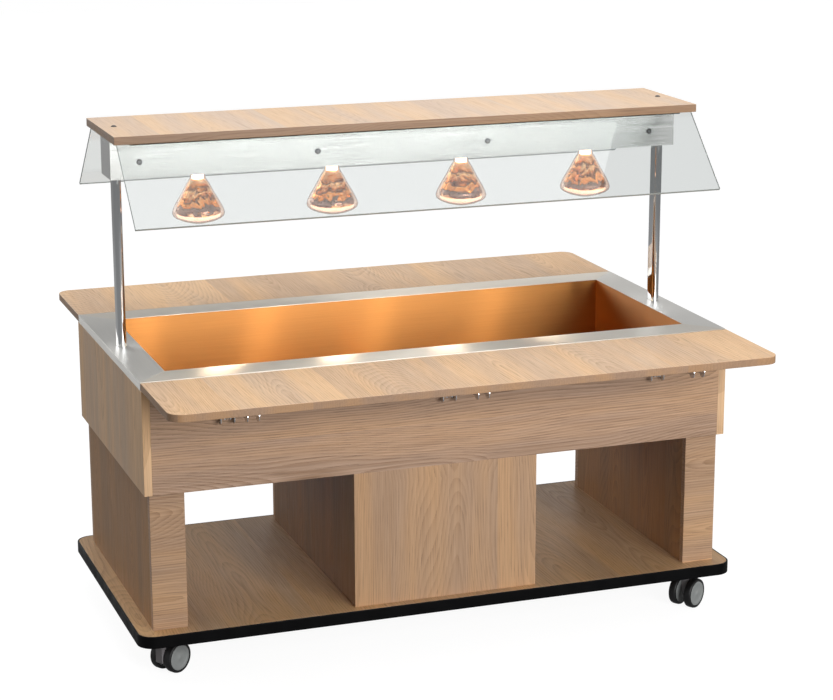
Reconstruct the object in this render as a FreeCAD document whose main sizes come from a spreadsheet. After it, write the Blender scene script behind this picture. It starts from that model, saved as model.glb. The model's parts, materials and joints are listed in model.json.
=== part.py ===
# Hot buffet trolley: an oak-laminate cabinet on casters with a heated well, a canopy with four
# heat lamps, two sloping sneeze guards and a folding shelf along each long side.
# Frame: +Z up, +X along the counter, -Y towards the guests, origin on the floor under the middle.
# Every length is in millimetres, and the driving sizes are the named cells of the sheet "dims".
import FreeCAD, Part
import math
import os
import re
import Sketcher

SIZES = {
    # counter and heated well
    "counter_top": 722, "counter_length": 1456, "counter_depth": 684, "rail_drop": 19, "steel": 1.5,
    "well_length": 1304, "well_width": 524, "well_depth": 200, "tank_flange": 20,
    "heater_length": 280, "heater_depth": 440, "heater_thick": 6, "heater_pitch": 325,
    "lagging": 20, "lagging_top": 716, "casing_steel": 1,
    # drain
    "drain_pipe": 13, "drain_bore": 10, "drain_clearance": 20, "strainer_radius": 34,
    "valve_radius": 20, "valve_low": 300, "valve_high": 360, "spout_low": 270, "stem_radius": 5,
    "stem_length": 26, "lever_length": 70, "lever_width": 14, "lever_thick": 4,
    # oak-laminate cabinet
    "panel": 19, "body_depth": 700, "apron_bottom": 456, "pedestal_width": 82, "pedestal_inset": 13.5,
    "cabinet_length": 460, "base_top": 126, "base_length": 1508, "base_depth": 752,
    "corner_radius": 40, "bumper_wall": 4, "bumper_height": 29,
    # operator side: controls and door
    "control_low": 360, "control_steel": 2, "control_setback": 17, "door_gap": 2, "door_bottom": 130,
    "door_knob": 12, "hinge_radius": 4, "hinge_pin": 2, "hinge_height": 40,
    "dial_radius": 19, "dial_length": 12, "spindle": 3, "rocker_width": 22, "rocker_height": 30,
    "rocker_out": 4, "rocker_pin": 1.2, "bezel": 4, "pilot_radius": 6, "pilot_out": 4,
    "inlet_x": 168, "inlet_length": 40, "inlet_height": 28, "inlet_out": 8, "inlet_rim": 6,
    "inlet_pitch": 8,
    # folding shelves and their brackets
    "shelf_top": 721.5, "shelf_thick": 18, "shelf_depth": 278, "shelf_gap": 4, "shelf_radius": 34,
    "bracket_pitch": 535, "bracket_steel": 2, "leg_width": 34, "leg_depth": 22, "leg_bottom": 612,
    "leg_top": 701, "web_bottom": 624, "ear_half": 8, "ear_steel": 3, "ear_depth": 20, "fold_out": 16,
    "fold_drop": 13.5, "arm_width": 28, "arm_reach": 215,
    "arm_cheek": 20, "lobe_radius": 13, "strut_drop": 60, "strut_reach": 110, "strut_half": 5,
    "strut_thick": 6, "pin_radius": 3, "roller_radius": 6.5, "roller_width": 20,
    # canopy
    "canopy_top": 1246, "board_length": 1454, "board_depth": 304, "housing_length": 1432,
    "housing_depth": 100, "housing_height": 98, "post_span": 1388, "post_width": 20, "post_depth": 40,
    "post_wall": 1.5, "foot_depth": 76, "foot_thick": 5, "post_slot": 0.5,
    "glass_length": 1438, "glass_thick": 6, "glass_top_out": 141, "glass_bottom_out": 309,
    "glass_bottom": 1063, "glass_groove": 4, "clip_height": 6, "clip_depth": 14,
    "lamp_pitch": 332, "lamp_radius": 62.5, "lamp_neck": 18, "lamp_bottom": 1004, "lamp_cap": 13,
    "lens_height": 18, "rim_height": 8, "holder_radius": 24, "holder_height": 58,
    "screw_head": 7, "screw_proud": 3, "screw_shank": 3, "screw_length": 10, "screw_pitch": 432,
    "screw_height": 1167,
    # casters
    "caster_x": 685, "caster_y": 290, "trail": 27.5, "wheel_radius": 37.5, "hub_radius": 31,
    "wheel_width": 20, "hood_width": 20, "hood_radius": 23, "wheel_gap": 1.5, "plate_size": 64,
    "plate_thick": 3, "plate_holes": 46, "hole_radius": 3.2, "kingpin": 5, "kingpin_length": 30,
    "axle": 4, "running_fit": 0.05, "pedal_length": 34, "pedal_width": 26, "pedal_thick": 5,
    "pedal_height": 79, "pedal_line": 18, "pedal_pin": 2.5, "lug_width": 12,
}
LAMP_OFFSETS = (-1.5, -0.5, 0.5, 1.5)  # in lamp pitches from the middle
BRACKET_OFFSETS = (-1, 0, 1)  # in bracket pitches from the middle
SCREW_OFFSETS = (-1.5, -0.5, 0.5, 1.5)  # in screw pitches from the middle
CASTERS = {"front_left": (-1, -1, 33, False), "front_right": (1, -1, 213, False),
           "rear_left": (-1, 1, -28, True), "rear_right": (1, 1, 208, True)}  # sides, turn, brake
X_AXIS = FreeCAD.Vector(1, 0, 0)
Y_AXIS = FreeCAD.Vector(0, 1, 0)
Z_AXIS = FreeCAD.Vector(0, 0, 1)
TURNS = {"x": FreeCAD.Rotation(Y_AXIS, 90), "y": FreeCAD.Rotation(X_AXIS, -90), "z": FreeCAD.Rotation()}

doc = FreeCAD.newDocument("hot_buffet_trolley")
dims = doc.addObject("Spreadsheet::Sheet", "dims")
for row, (alias, value) in enumerate(SIZES.items(), start=1):
    dims.set(f"A{row}", alias)
    dims.set(f"B{row}", str(value))
    dims.setAlias(f"B{row}", alias)
doc.recompute()
nodes = {}


def sheet(expression):
    # points every name in an expression at its cell
    names = r"[a-z_]+"
    return re.sub(names, lambda word: f"dims.{word.group()}" if word.group() in SIZES else word.group(),
                  str(expression))


def bind(feature, **expressions):
    for name, expression in expressions.items():
        feature.setExpression(name, sheet(expression))


def place(feature, low, turn=FreeCAD.Rotation()):
    feature.Placement = FreeCAD.Placement(FreeCAD.Vector(), turn)
    for axis, expression in zip("xyz", low):
        feature.setExpression(f"Placement.Base.{axis}", sheet(expression))


def keep(node, feature):
    # the label of a finished piece is the name of its file
    feature.Label = node
    nodes[node] = feature
    return feature


def span(name, low, high):
    # a board or block between two opposite corners
    box = doc.addObject("Part::Box", name)
    sides = [f"({top}) - ({bottom})" for bottom, top in zip(low, high)]
    bind(box, Length=sides[0], Width=sides[1], Height=sides[2])
    place(box, low)
    return box


def rod(name, radius, length, start, along="z"):
    cylinder = doc.addObject("Part::Cylinder", name)
    bind(cylinder, Radius=radius, Height=length)
    place(cylinder, start, TURNS[along])
    return cylinder


def cone(name, low_radius, top_radius, height, low):
    feature = doc.addObject("Part::Cone", name)
    bind(feature, Radius1=low_radius, Radius2=top_radius, Height=height)
    place(feature, low)
    return feature


def fuse(name, *shapes):
    feature = doc.addObject("Part::MultiFuse", name)
    feature.Shapes = list(shapes)
    feature.Refine = True
    return feature


def group(name, shapes):
    # separate solids that share one piece's file
    feature = doc.addObject("Part::Compound", name)
    feature.Links = list(shapes)
    return feature


def cut(name, base, *tools):
    feature = doc.addObject("Part::Cut", name)
    feature.Base = base
    feature.Tool = tools[0] if len(tools) == 1 else group(f"{name}_tools", tools)
    feature.Refine = True
    return feature


def mirror(name, source, normal):
    feature = doc.addObject("Part::Mirroring", name)
    feature.Source = source
    feature.Normal = normal
    return feature


def pair(name, source, normal):
    # a piece and its mirror image
    return group(name, [source, mirror(f"{name}_mirrored", source, normal)])


def copy_at(name, source, low, turn=0):
    feature = group(name, [source])
    place(feature, low, FreeCAD.Rotation(Z_AXIS, turn))
    return feature


def prism(name, plane, points, length, offset="0", midplane=False):
    # a pad of a straight-sided outline, with every corner bound to the sheet
    body = doc.addObject("PartDesign::Body", name)
    sketch = body.newObject("Sketcher::SketchObject", f"{name}_outline")
    origin_plane = next(item for item in body.Origin.OriginFeatures if item.Role == plane)
    sketch.AttachmentSupport = (origin_plane, [""])
    sketch.MapMode = "FlatFace"
    sketch.setExpression("AttachmentOffset.Base.z", sheet(offset))
    corners = [[float(dims.evalExpression(sheet(value))) for value in point] for point in points]
    count = len(corners)
    for index in range(count):
        ends = [FreeCAD.Vector(*corners[step % count], 0) for step in (index, index + 1)]
        sketch.addGeometry(Part.LineSegment(*ends), False)
    for index in range(count):
        sketch.addConstraint(Sketcher.Constraint("Coincident", index, 2, (index + 1) % count, 1))
    for index, point in enumerate(points):
        for kind, expression, value in zip(("DistanceX", "DistanceY"), point, corners[index]):
            number = sketch.addConstraint(Sketcher.Constraint(kind, -1, 1, index, 1, value))
            sketch.setExpression(f"Constraints[{number}]", sheet(expression))
    pad = body.newObject("PartDesign::Pad", f"{name}_pad")
    pad.Profile = sketch
    pad.SideType = "Symmetric" if midplane else "One side"
    bind(pad, Length=length)
    body.Tip = pad
    doc.recompute()
    return body


def rounded_plate(name, half_length, near, far, low, height, radius, near_only=False):
    # a board with its upright corners rounded, or only those on its near side
    outline = [(f"-({half_length})", near), (half_length, near), (half_length, far),
               (f"-({half_length})", far)]
    body = prism(name, "XY_Plane", outline, height, low)
    near_y = float(dims.evalExpression(sheet(near)))
    uprights = []
    for index, edge in enumerate(body.Shape.Edges, start=1):
        upright = abs(edge.tangentAt(edge.FirstParameter).z) > 0.99
        if upright and (not near_only or abs(edge.CenterOfMass.y - near_y) < 1):
            uprights.append(f"Edge{index}")
    pad = body.Tip
    fillet = body.newObject("PartDesign::Fillet", f"{name}_corners")
    fillet.Base = (pad, uprights)
    bind(fillet, Radius=radius)
    body.Tip = fillet
    doc.recompute()
    return body


# base: board, bumper edge and casters
def make_base():
    half, deep = "base_length / 2", "base_depth / 2"
    inner = [f"{half} - bumper_wall", f"-{deep} + bumper_wall", f"{deep} - bumper_wall"]
    keep("base_board", rounded_plate("board", *inner, "base_top - panel", "panel",
                                     "corner_radius - bumper_wall"))
    outside = rounded_plate("bumper_outside", half, f"-{deep}", deep, "base_top - bumper_height",
                            "bumper_height", "corner_radius")
    inside = rounded_plate("bumper_inside", *inner, "base_top - bumper_height - 1", "bumper_height + 2",
                           "corner_radius - bumper_wall")
    keep("base_bumper", cut("bumper", outside, inside))


def make_caster_plate():
    half = "plate_size / 2"
    under = "base_top - panel"
    plate = span("plate", (f"-{half}", f"-{half}", f"{under} - plate_thick"), (half, half, under))
    pin = rod("kingpin_rod", "kingpin", "kingpin_length",
              ("0", "0", f"{under} - plate_thick - kingpin_length"))
    holes = [rod(f"plate_hole_{index}", "hole_radius", "plate_thick + 2",
                 (f"{x} * plate_holes / 2", f"{y} * plate_holes / 2", f"{under} - plate_thick - 1"))
             for index, (x, y) in enumerate(((-1, -1), (1, -1), (1, 1), (-1, 1)))]
    return cut("caster_plate", fuse("plate_and_pin", plate, pin), *holes)


def make_caster_hood():
    # the hood carries the swivel race on top and reaches down between the wheels to the axle
    top = "base_top - panel - plate_thick - 1"
    race = rod("race", "hood_radius", "12", ("0", "0", f"{top} - 12"))
    bridge = span("bridge", ("-hood_radius / 2", "-hood_width / 2", "wheel_radius - axle * 2"),
                  ("trail + axle * 2", "hood_width / 2", f"{top} - 6"))
    nose = rod("hood_nose", "axle * 2", "hood_width", ("trail", "-hood_width / 2", "wheel_radius"), "y")
    lug = span("pedal_lug", ("-hood_radius - 1", "-lug_width / 2", "pedal_height - 6"),
               ("0", "lug_width / 2", f"{top} - 6"))
    lug_bore = rod("lug_bore", "pedal_pin + running_fit", "hood_width",
                   ("-pedal_line", "-hood_width / 2", "pedal_height"), "y")
    pin_bore = rod("pin_bore", "kingpin + running_fit", "kingpin_length + 2",
                   ("0", "0", f"{top} - kingpin_length"))
    axle_bore = rod("axle_bore", "axle + running_fit", "hood_width + 2",
                    ("trail", "-hood_width / 2 - 1", "wheel_radius"), "y")
    return cut("hood", fuse("hood_blank", race, bridge, nose, lug), pin_bore, axle_bore, lug_bore)


def make_tyres():
    inner = "hood_width / 2 + wheel_gap"
    solid = rod("tyre_blank", "wheel_radius", "wheel_width", ("trail", inner, "wheel_radius"), "y")
    bore = rod("tyre_bore", "hub_radius", "wheel_width + 2", ("trail", f"{inner} - 1", "wheel_radius"), "y")
    return pair("tyres", cut("tyre", solid, bore), Y_AXIS)


def make_hubs():
    inner = "hood_width / 2 + wheel_gap"
    hub = rod("hub_disc", "hub_radius", "wheel_width", ("trail", inner, "wheel_radius"), "y")
    reach = f"{inner} + wheel_width"
    axle = rod("axle_rod", "axle", f"2 * ({reach})", ("trail", f"-({reach})", "wheel_radius"), "y")
    return fuse("hubs", hub, mirror("hub_disc_mirrored", hub, Y_AXIS), axle)


def make_pedal():
    # a rocking lever behind the hood that locks wheel and swivel when its pad is trodden down
    pad = span("pedal_pad", ("-hood_radius - pedal_length", "-pedal_width / 2",
                             "pedal_height - pedal_thick / 2"),
               ("-hood_radius - 4", "pedal_width / 2", "pedal_height + pedal_thick / 2"))
    ear = span("pedal_ear", ("-hood_radius - 6", "lug_width / 2 + 0.5", "pedal_height - 4"),
               ("-pedal_line + 4", "lug_width / 2 + 3.5", "pedal_height + 4"))
    pin = rod("pedal_pin_rod", "pedal_pin", "lug_width + 4",
              ("-pedal_line", "-lug_width / 2 - 2", "pedal_height"), "y")
    return fuse("pedal", pad, ear, mirror("pedal_ear_mirrored", ear, Y_AXIS), pin)


def make_casters():
    plate = make_caster_plate()
    hood = make_caster_hood()
    tyres = make_tyres()
    hubs = make_hubs()
    pedal = make_pedal()
    plates = []
    for name, (side, depth, turn, braked) in CASTERS.items():
        at = (f"{side} * caster_x", f"{depth} * caster_y", "0")
        plates.append(copy_at(f"plate_{name}", plate, at))
        keep(f"caster_{name}_hood", copy_at(f"hood_{name}", hood, at, turn))
        keep(f"caster_{name}_tyres", copy_at(f"tyres_{name}", tyres, at, turn))
        keep(f"caster_{name}_hubs", copy_at(f"hubs_{name}", hubs, at, turn))
        if braked:
            keep(f"caster_{name}_pedal", copy_at(f"pedal_{name}", pedal, at, turn))
    keep("caster_plates", group("plates", plates))


# cabinet: pedestals, middle cupboard and the box around the well
def make_pedestals():
    low, high = "base_top", "apron_bottom"
    outer = "counter_length / 2 - pedestal_inset"
    inner = f"{outer} - pedestal_width"
    deep = "body_depth / 2 - pedestal_inset"
    sides = [span("pedestal_outer_side", (f"{outer} - panel", f"-({deep} - panel)", low),
                  (outer, f"{deep} - panel", high)),
             span("pedestal_inner_side", (inner, f"-({deep} - panel)", low),
                  (f"{inner} + panel", f"{deep} - panel", high))]
    end = span("pedestal_end", (inner, f"-({deep})", low), (outer, f"-({deep} - panel)", high))
    right_sides = group("pedestal_right_sides", sides)
    right_ends = pair("pedestal_right_ends", end, Y_AXIS)
    keep("pedestal_side_panels", pair("pedestal_sides", right_sides, X_AXIS))
    keep("pedestal_end_panels", pair("pedestal_ends", right_ends, X_AXIS))


def make_cupboard():
    half = "cabinet_length / 2"
    low, high = "base_top", "apron_bottom"
    front = "-body_depth / 2"
    back = "body_depth / 2 - panel"
    side = span("cupboard_side", (f"{half} - panel", f"{front} + panel", low), (half, back, high))
    end = span("cupboard_front", (f"-{half}", front, low), (half, f"{front} + panel", high))
    keep("cabinet_panels", group("cupboard", [pair("cupboard_sides", side, X_AXIS), end]))


def make_carcass():
    half = "counter_length / 2"
    deep = "body_depth / 2"
    low, high = "apron_bottom", "counter_top - rail_drop"
    end = span("end_panel", (f"{half} - panel", f"-{deep}", low), (half, deep, high))
    keep("end_panels", pair("ends", end, X_AXIS))
    apron = span("apron", (f"-{half} + panel", f"-{deep}", low),
                 (f"{half} - panel", f"-{deep} + panel", high))
    keep("front_apron", apron)
    keep("rear_apron", mirror("apron_mirrored", apron, Y_AXIS))
    floor = span("floor_board", (f"-{half} + panel", f"-{deep} + panel", low),
                 (f"{half} - panel", f"{deep} - panel", f"{low} + panel"))
    drain = rod("floor_drain_hole", "drain_clearance", "panel + 2", ("0", "0", f"{low} - 1"))
    keep("carcass_floor", cut("floor_with_hole", floor, drain))


# counter frame: four mitred stainless rails round the well
def post_section(name, grow, low, height):
    # a flat-oval upright with its long side along Y
    width, depth = f"post_width / 2 + {grow}", f"post_depth / 2 - post_width / 2"
    middle = span(f"{name}_middle", (f"-({width})", f"-({depth})", low),
                  (width, depth, f"{low} + {height}"))
    noses = [rod(f"{name}_nose_{index}", width, height, ("0", f"{side} * ({depth})", low))
             for index, side in enumerate((-1, 1))]
    return fuse(name, middle, *noses)


def make_rails():
    half, deep = "counter_length / 2", "counter_depth / 2"
    inner, inner_deep = "well_length / 2", "well_width / 2"
    skin = "counter_top - steel"
    drop = "counter_top - rail_drop"
    mitred = [(f"-{half}", f"-{deep}"), (half, f"-{deep}"), (inner, f"-{inner_deep}"),
              (f"-{inner}", f"-{inner_deep}")]
    long_top = prism("long_rail_top", "XY_Plane", mitred, "steel", skin)
    long_skirt = span("long_rail_skirt", (f"-{half} + steel", f"-{deep}", drop),
                      (f"{half} - steel", f"-{deep} + steel", skin))
    keep("counter_long_rails", pair("long_rails", fuse("long_rail", long_top, long_skirt), Y_AXIS))
    end_top = prism("end_rail_top", "XY_Plane", [(half, f"-{deep}"), (half, deep), (inner, inner_deep),
                                                 (inner, f"-{inner_deep}")], "steel", skin)
    end_skirt = span("end_rail_skirt", (f"{half} - steel", f"-{deep}", drop), (half, deep, skin))
    slot = copy_at("rail_slot_at", post_section("rail_slot", "post_slot", f"{skin} - 1", "steel + 2"),
                   ("post_span / 2", "0", "0"))
    end_rail = cut("end_rail", fuse("end_rail_blank", end_top, end_skirt), slot)
    keep("counter_end_rails", pair("end_rails", end_rail, X_AXIS))


# heated well: tank, heaters, lagging, casing and drain
def tub(name, half, deep, low, high, wall, floor):
    # an open box of inner half sizes, inner floor and top
    outer = span(f"{name}_outer", (f"-({half} + {wall})", f"-({deep} + {wall})", f"{low} - ({floor})"),
                 (f"{half} + {wall}", f"{deep} + {wall}", high))
    inner = span(f"{name}_inner", (f"-({half})", f"-({deep})", low), (half, deep, f"{high} + 1"))
    return outer, inner


def make_well():
    half, deep = "well_length / 2", "well_width / 2"
    bottom, rim = "counter_top - well_depth", "counter_top - steel"
    # the tank is welded from a floor and four folded walls, each with its rim
    outer_half, outer_deep = f"{half} + steel", f"{deep} + steel"
    pan = span("tank_pan", (f"-({outer_half})", f"-({outer_deep})", f"{bottom} - steel"),
               (outer_half, outer_deep, bottom))
    outlet = rod("tank_outlet", "drain_pipe + 0.3", "steel + 2", ("0", "0", f"{bottom} - steel - 1"))
    long_wall = span("tank_long_wall", (f"-({outer_half})", f"-({outer_deep})", bottom),
                     (outer_half, f"-({deep})", rim))
    long_rim = span("tank_long_rim", (f"-({half} + tank_flange)", f"-({deep} + tank_flange)",
                                      f"{rim} - steel"),
                    (f"{half} + tank_flange", f"-({deep})", rim))
    end_wall = span("tank_end_wall", (half, f"-({deep})", bottom), (outer_half, deep, rim))
    end_rim = span("tank_end_rim", (half, f"-({deep})", f"{rim} - steel"),
                   (f"{half} + tank_flange", deep, rim))
    keep("well_tank", group("tank", [cut("tank_floor", pan, outlet),
                                     pair("tank_long_walls", fuse("tank_long_side", long_wall, long_rim),
                                          Y_AXIS),
                                     pair("tank_end_walls", fuse("tank_end_side", end_wall, end_rim),
                                          X_AXIS)]))
    under = f"{bottom} - steel"
    along = "heater_length / 2"
    heaters = [span(f"heater_{index}",
                    (f"{step} * heater_pitch - {along}", "-heater_depth / 2", f"{under} - heater_thick"),
                    (f"{step} * heater_pitch + {along}", "heater_depth / 2", under))
               for index, step in enumerate(LAMP_OFFSETS)]
    keep("heating_plates", group("heaters", heaters))
    lag_half, lag_deep = f"{half} + steel", f"{deep} + steel"
    cavity_floor = f"{under} - heater_thick - 2"
    casing_low = "apron_bottom + panel"
    passage = rod("lagging_drain_hole", "drain_clearance", "100", ("0", "0", f"{casing_low} - 1"))
    lag_outer, lag_inner = tub("lagging_tub", lag_half, lag_deep, cavity_floor, "lagging_top", "lagging",
                               f"{cavity_floor} - ({casing_low} + casing_steel)")
    keep("well_insulation", cut("insulation", lag_outer, lag_inner, passage))
    case_half, case_deep = f"{lag_half} + lagging", f"{lag_deep} + lagging"
    case_outer, case_inner = tub("casing_tub", case_half, case_deep, f"{casing_low} + casing_steel",
                                 "lagging_top", "casing_steel", "casing_steel")
    keep("well_casing", cut("casing", case_outer, case_inner, passage))


def make_drain():
    bottom = "counter_top - well_depth"
    pipe = rod("drain_tube", "drain_pipe", f"{bottom} - valve_high", ("0", "0", "valve_high"))
    strainer = rod("drain_strainer", "strainer_radius", "2", ("0", "0", bottom))
    bore = rod("drain_tube_bore", "drain_bore", f"{bottom} - valve_high + 4", ("0", "0", "valve_high - 1"))
    keep("drain_pipe", cut("drain", fuse("drain_blank", pipe, strainer), bore))
    middle = "(valve_low + valve_high) / 2"
    barrel = rod("valve_barrel", "valve_radius", "valve_high - valve_low", ("0", "0", "valve_low"))
    neck = rod("valve_neck", "stem_radius * 2", "valve_radius + 8", ("0", "0", middle), "y")
    spout = rod("valve_spout", "drain_pipe", "valve_low - spout_low", ("0", "0", "spout_low"))
    waterway = rod("valve_waterway", "drain_bore", "valve_high - spout_low + 2",
                   ("0", "0", "spout_low - 1"))
    stem_bore = rod("valve_stem_bore", "stem_radius + running_fit", "stem_length + 10",
                    ("0", "drain_bore + 2", middle), "y")
    keep("drain_valve", cut("valve", fuse("valve_blank", barrel, neck, spout), waterway, stem_bore))
    stem = rod("lever_stem", "stem_radius", "stem_length", ("0", "drain_bore + 3", middle), "y")
    out = "drain_bore + 3 + stem_length"
    lever = span("lever_bar", ("-stem_radius * 2", f"{out} - lever_thick", f"{middle} - lever_width / 2"),
                 ("lever_length", out, f"{middle} + lever_width / 2"))
    keep("drain_lever", fuse("lever", stem, lever))


# operator side: recessed control plate, knob, rockers, pilot lamps, power inlet and door
def make_controls():
    half = "cabinet_length / 2"
    face = "body_depth / 2 - control_setback"
    high = "apron_bottom"
    middle = "(control_low + apron_bottom) / 2"
    plate = span("control_plate", (f"-({half})", f"{face} - control_steel", "control_low"),
                 (half, face, high))
    spindle_hole = rod("dial_hole", "spindle + running_fit", "control_steel + 2",
                       ("-110", f"{face} - control_steel - 1", middle), "y")
    keep("control_panel", cut("control", plate, spindle_hole))
    dial = rod("dial_grip", "dial_radius", "dial_length", ("-110", f"{face} + 1", middle), "y")
    spindle = rod("dial_spindle", "spindle", "12", ("-110", f"{face} - control_steel - 9", middle), "y")
    ridge = span("dial_ridge", ("-110 - 3", f"{face} + 1 + dial_length", f"{middle} - dial_radius + 2"),
                 ("-110 + 3", f"{face} + 5 + dial_length", f"{middle} + dial_radius - 2"))
    keep("thermostat_knob", fuse("dial", dial, spindle, ridge))
    frames = []
    for name, x in (("heater_switch", -30), ("lamp_switch", 30)):
        frame = span(f"{name}_frame", (f"{x} - rocker_width / 2 - bezel", face,
                                       f"{middle} - rocker_height / 2 - bezel"),
                     (f"{x} + rocker_width / 2 + bezel", f"{face} + rocker_out",
                      f"{middle} + rocker_height / 2 + bezel"))
        hole = span(f"{name}_hole", (f"{x} - rocker_width / 2", f"{face} - 1",
                                     f"{middle} - rocker_height / 2"),
                    (f"{x} + rocker_width / 2", f"{face} + rocker_out + 1",
                     f"{middle} + rocker_height / 2"))
        pivot_y = f"{face} + rocker_out / 2"
        pin_hole = rod(f"{name}_pin_hole", "rocker_pin + running_fit", "rocker_width + 5",
                       (f"{x} - rocker_width / 2 - 2.5", pivot_y, middle), "x")
        pin = rod(f"{name}_pin", "rocker_pin", "rocker_width + 4",
                  (f"{x} - rocker_width / 2 - 2", pivot_y, middle), "x")
        frames.append(cut(f"{name}_bezel", frame, hole, pin_hole))
        half_height = "rocker_height / 2 - 1.5"
        rocker = prism(f"{name}_key", "YZ_Plane",
                       [(f"{face} + 0.8", f"{middle} - 3"), (f"{face} + 0.8", f"{middle} + 3"),
                        (f"{face} + 3", f"{middle} + {half_height}"),
                        (f"{face} + rocker_out + 4", f"{middle} + {half_height}"),
                        (f"{face} + rocker_out + 1", f"{middle}"),
                        (f"{face} + rocker_out + 2", f"{middle} - ({half_height})"),
                        (f"{face} + 3", f"{middle} - ({half_height})")],
                       "rocker_width - 2", str(x), midplane=True)
        keep(name, fuse(f"{name}_with_pin", rocker, pin))
    keep("switch_bezels", group("bezels", frames))
    lamps = [rod(f"pilot_{index}", "pilot_radius", "pilot_out", (str(x), face, middle), "y")
             for index, x in enumerate((80, 110))]
    keep("pilot_lamps", group("pilots", lamps))
    long_half, high_half = "inlet_length / 2", "inlet_height / 2"
    inlet = span("inlet_body", (f"inlet_x - {long_half}", face, f"{middle} - {high_half}"),
                 (f"inlet_x + {long_half}", f"{face} + inlet_out", f"{middle} + {high_half}"))
    socket = span("inlet_socket",
                  (f"inlet_x - {long_half} + inlet_rim", f"{face} + 2",
                   f"{middle} - {high_half} + inlet_rim - 1"),
                  (f"inlet_x + {long_half} - inlet_rim", f"{face} + inlet_out + 1",
                   f"{middle} + {high_half} - inlet_rim + 1"))
    pins = [span(f"inlet_pin_{index}",
                 (f"inlet_x + {step} * inlet_pitch - 1", f"{face} + 1", f"{middle} - 3"),
                 (f"inlet_x + {step} * inlet_pitch + 1", f"{face} + inlet_out - 1", f"{middle} + 3"))
            for index, step in enumerate((-1, 0, 1))]
    keep("power_inlet", fuse("inlet", cut("inlet_shell", inlet, socket), *pins))


def make_door():
    half = "cabinet_length / 2"
    inside, outside = "body_depth / 2 - panel", "body_depth / 2"
    low, high = "door_bottom", "control_low - door_gap"
    keep("cabinet_door", span("door_leaf", (f"-{half} + 1", f"{inside} + 1", low),
                              (f"{half} - 1", outside, high)))
    knob_at = (f"-{half} + 45", outside, f"{high} - 50")
    stalk = rod("knob_stalk", "door_knob / 2", "12", knob_at, "y")
    grip = rod("knob_grip", "door_knob", "10", (knob_at[0], f"{outside} + 12", knob_at[2]), "y")
    keep("door_knob", fuse("knob", stalk, grip))
    # the hinge line stands just clear of the door's back corner on the +X side
    line_x, line_y = f"{half} + hinge_radius + 1", f"{outside} + 1"
    fixed, moving = [], []
    for index, centre in enumerate((f"{low} + 40", f"{high} - 40")):
        low_half = f"{centre} - hinge_height / 2"
        barrel = rod(f"hinge_low_barrel_{index}", "hinge_radius", "hinge_height / 2 - 0.5",
                     (line_x, line_y, low_half))
        pin = rod(f"hinge_pin_{index}", "hinge_pin", "hinge_height", (line_x, line_y, low_half))
        wing = span(f"hinge_fixed_wing_{index}", (f"{half}", f"{inside} - 30", low_half),
                    (f"{half} + 1.5", line_y, f"{centre} - 0.5"))
        bridge = span(f"hinge_fixed_bridge_{index}", (f"{half}", f"{line_y} - 1.5", low_half),
                      (line_x, line_y, f"{centre} - 0.5"))
        fixed.append(fuse(f"hinge_fixed_{index}", barrel, pin, wing, bridge))
        upper = rod(f"hinge_top_barrel_{index}", "hinge_radius", "hinge_height / 2 - 0.5",
                    (line_x, line_y, f"{centre} + 0.5"))
        plate = span(f"hinge_door_wing_{index}", (f"{half} - 30", outside, f"{centre} + 0.5"),
                     (line_x, f"{outside} + 1.5", f"{centre} + hinge_height / 2"))
        bore = rod(f"hinge_bore_{index}", "hinge_pin + running_fit", "hinge_height",
                   (line_x, line_y, centre))
        moving.append(cut(f"hinge_moving_{index}", fuse(f"hinge_moving_blank_{index}", upper, plate), bore))
    keep("door_hinge_fixed_leaves", group("hinges_fixed", fixed))
    keep("door_hinge_door_leaves", group("hinges_moving", moving))


# folding shelves: each hangs on three brackets of leg, arm and strut
def three_times(name, piece):
    return group(f"{name}_row", [copy_at(f"{name}_{index}", piece, (f"{step} * bracket_pitch", "0", "0"))
                                 for index, step in enumerate(BRACKET_OFFSETS)])


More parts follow.
